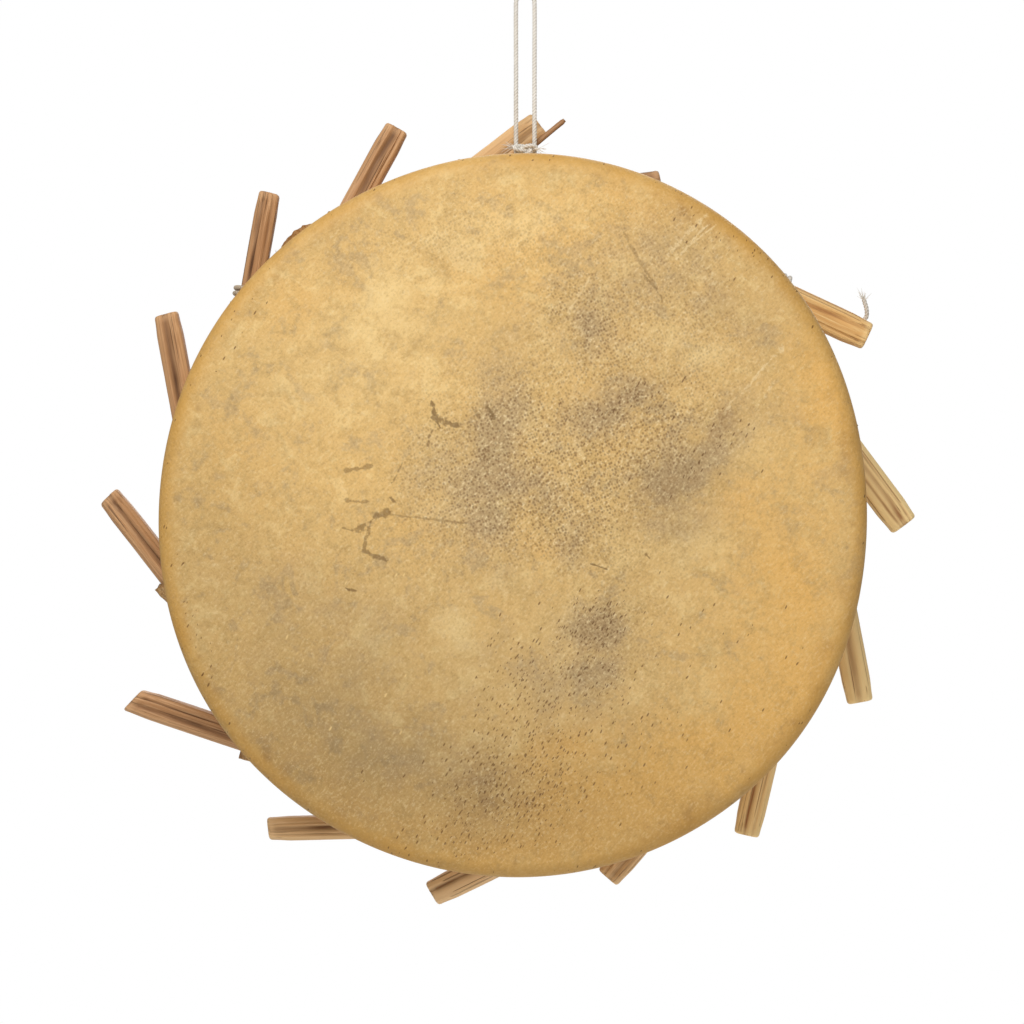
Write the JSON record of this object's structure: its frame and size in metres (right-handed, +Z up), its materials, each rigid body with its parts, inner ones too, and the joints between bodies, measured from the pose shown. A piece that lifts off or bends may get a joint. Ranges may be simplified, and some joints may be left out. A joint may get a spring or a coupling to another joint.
{
  "type": "frame drum",
  "caption": "Shallow clay-ring frame drum with a lapped goat-skin head, slanting wooden tuning pegs round its back edge and a twine hanging loop",
  "frame": {"origin": "where the top of the hanging loop bears on its nail", "axes": "+Z up, the head faces -Y, +X is to the right of someone who faces the head, +Y runs from the head to the back along the drum's axis"},
  "size_m": [0.3501, 0.0654, 0.3907],
  "materials": {
    "goat_skin": "dry rawhide, mottled, satin",
    "goat_skin_margin": "dry rawhide, creased, satin",
    "fired_clay": "unglazed, matte",
    "wood_brown": "split palm rib, dark, grooved",
    "wood_tan": "split palm rib, tan, fibrous",
    "wood_orange": "split palm rib, orange-brown, satin",
    "cotton_twine": "twisted cotton, matte"
  },
  "bodies": {
    "drum": {"hanging_knot": "cotton_twine", "hanging_loop": "cotton_twine", "ring_frame": "fired_clay", "skin_flap": "goat_skin_margin", "skin_head": "goat_skin", "skin_roll_01": "goat_skin_margin", "skin_roll_02": "goat_skin_margin", "skin_roll_03": "goat_skin_margin", "skin_roll_04": "goat_skin_margin", "skin_roll_05": "goat_skin_margin", "skin_roll_06": "goat_skin_margin", "skin_roll_07": "goat_skin_margin", "skin_roll_08": "goat_skin_margin", "skin_roll_09": "goat_skin_margin", "skin_roll_10": "goat_skin_margin", "skin_roll_11": "goat_skin_margin", "skin_roll_12": "goat_skin_margin", "skin_roll_13": "goat_skin_margin", "skin_roll_14": "goat_skin_margin", "twig": "wood_brown"},
    "peg_01": {"peg_01": "wood_tan"},
    "peg_02": {"peg_02": "wood_brown"},
    "peg_03": {"peg_03": "wood_brown", "tie_03": "cotton_twine"},
    "peg_04": {"peg_04": "wood_brown"},
    "peg_05": {"peg_05": "wood_brown"},
    "peg_06": {"peg_06": "wood_brown"},
    "peg_07": {"peg_07": "wood_tan"},
    "peg_08": {"peg_08": "wood_tan"},
    "peg_09": {"peg_09": "wood_tan"},
    "peg_10": {"peg_10": "wood_orange"},
    "peg_11": {"peg_11": "wood_orange"},
    "peg_12": {"peg_12": "wood_orange"},
    "peg_13": {"peg_13": "wood_orange", "tie_13": "cotton_twine"},
    "peg_14": {"peg_14": "wood_brown"}
  },
  "joints": [
    {"name": "peg_01_twist", "type": "hinge", "parent": "drum", "child": "peg_01", "pos_m": [-0.08202, 0.01092, -0.12085], "axis": [0.7934, 0, 0.6088], "range_deg": [-90, 180]},
    {"name": "peg_02_twist", "type": "hinge", "parent": "drum", "child": "peg_02", "pos_m": [-0.11381, 0.01024, -0.16135], "axis": [0.4848, 0, 0.8746], "range_deg": [-90, 180]},
    {"name": "peg_03_twist", "type": "hinge", "parent": "drum", "child": "peg_03", "pos_m": [-0.13124, 0.00948, -0.19849], "axis": [0.1822, 0, 0.9833], "range_deg": [-90, 180]},
    {"name": "peg_04_twist", "type": "hinge", "parent": "drum", "child": "peg_04", "pos_m": [-0.13299, 0.01024, -0.247], "axis": [-0.1908, 0, 0.9816], "range_deg": [-90, 180]},
    {"name": "peg_05_twist", "type": "hinge", "parent": "drum", "child": "peg_05", "pos_m": [-0.10755, 0.0101, -0.30405], "axis": [-0.6225, 0, 0.7826], "range_deg": [-90, 180]},
    {"name": "peg_06_twist", "type": "hinge", "parent": "drum", "child": "peg_06", "pos_m": [-0.04479, 0.01053, -0.34272], "axis": [-0.9483, 0, 0.3173], "range_deg": [-90, 180]},
    {"name": "peg_07_twist", "type": "hinge", "parent": "drum", "child": "peg_07", "pos_m": [-0.00209, 0.00984, -0.35448], "axis": [-0.9998, 0, -0.0175], "range_deg": [-90, 180]},
    {"name": "peg_08_twist", "type": "hinge", "parent": "drum", "child": "peg_08", "pos_m": [0.05285, 0.01068, -0.33938], "axis": [-0.8988, 0, -0.4384], "range_deg": [-90, 180]},
    {"name": "peg_09_twist", "type": "hinge", "parent": "drum", "child": "peg_09", "pos_m": [0.09559, 0.01039, -0.3074], "axis": [-0.6494, 0, -0.7604], "range_deg": [-90, 180]},
    {"name": "peg_10_twist", "type": "hinge", "parent": "drum", "child": "peg_10", "pos_m": [0.11988, 0.01053, -0.24955], "axis": [-0.2164, 0, -0.9763], "range_deg": [-90, 180]},
    {"name": "peg_11_twist", "type": "hinge", "parent": "drum", "child": "peg_11", "pos_m": [0.1238, 0.01068, -0.19708], "axis": [0.1908, 0, -0.9816], "range_deg": [-90, 180]},
    {"name": "peg_12_twist", "type": "hinge", "parent": "drum", "child": "peg_12", "pos_m": [0.10062, 0.0113, -0.14286], "axis": [0.6018, 0, -0.7986], "range_deg": [-90, 180]},
    {"name": "peg_13_twist", "type": "hinge", "parent": "drum", "child": "peg_13", "pos_m": [0.05244, 0.01112, -0.1001], "axis": [0.9063, 0, -0.4226], "range_deg": [-90, 180]},
    {"name": "peg_14_twist", "type": "hinge", "parent": "drum", "child": "peg_14", "pos_m": [-0.02901, 0.01076, -0.09537], "axis": [0.9816, 0, 0.1908], "range_deg": [-90, 180]}
  ]
}
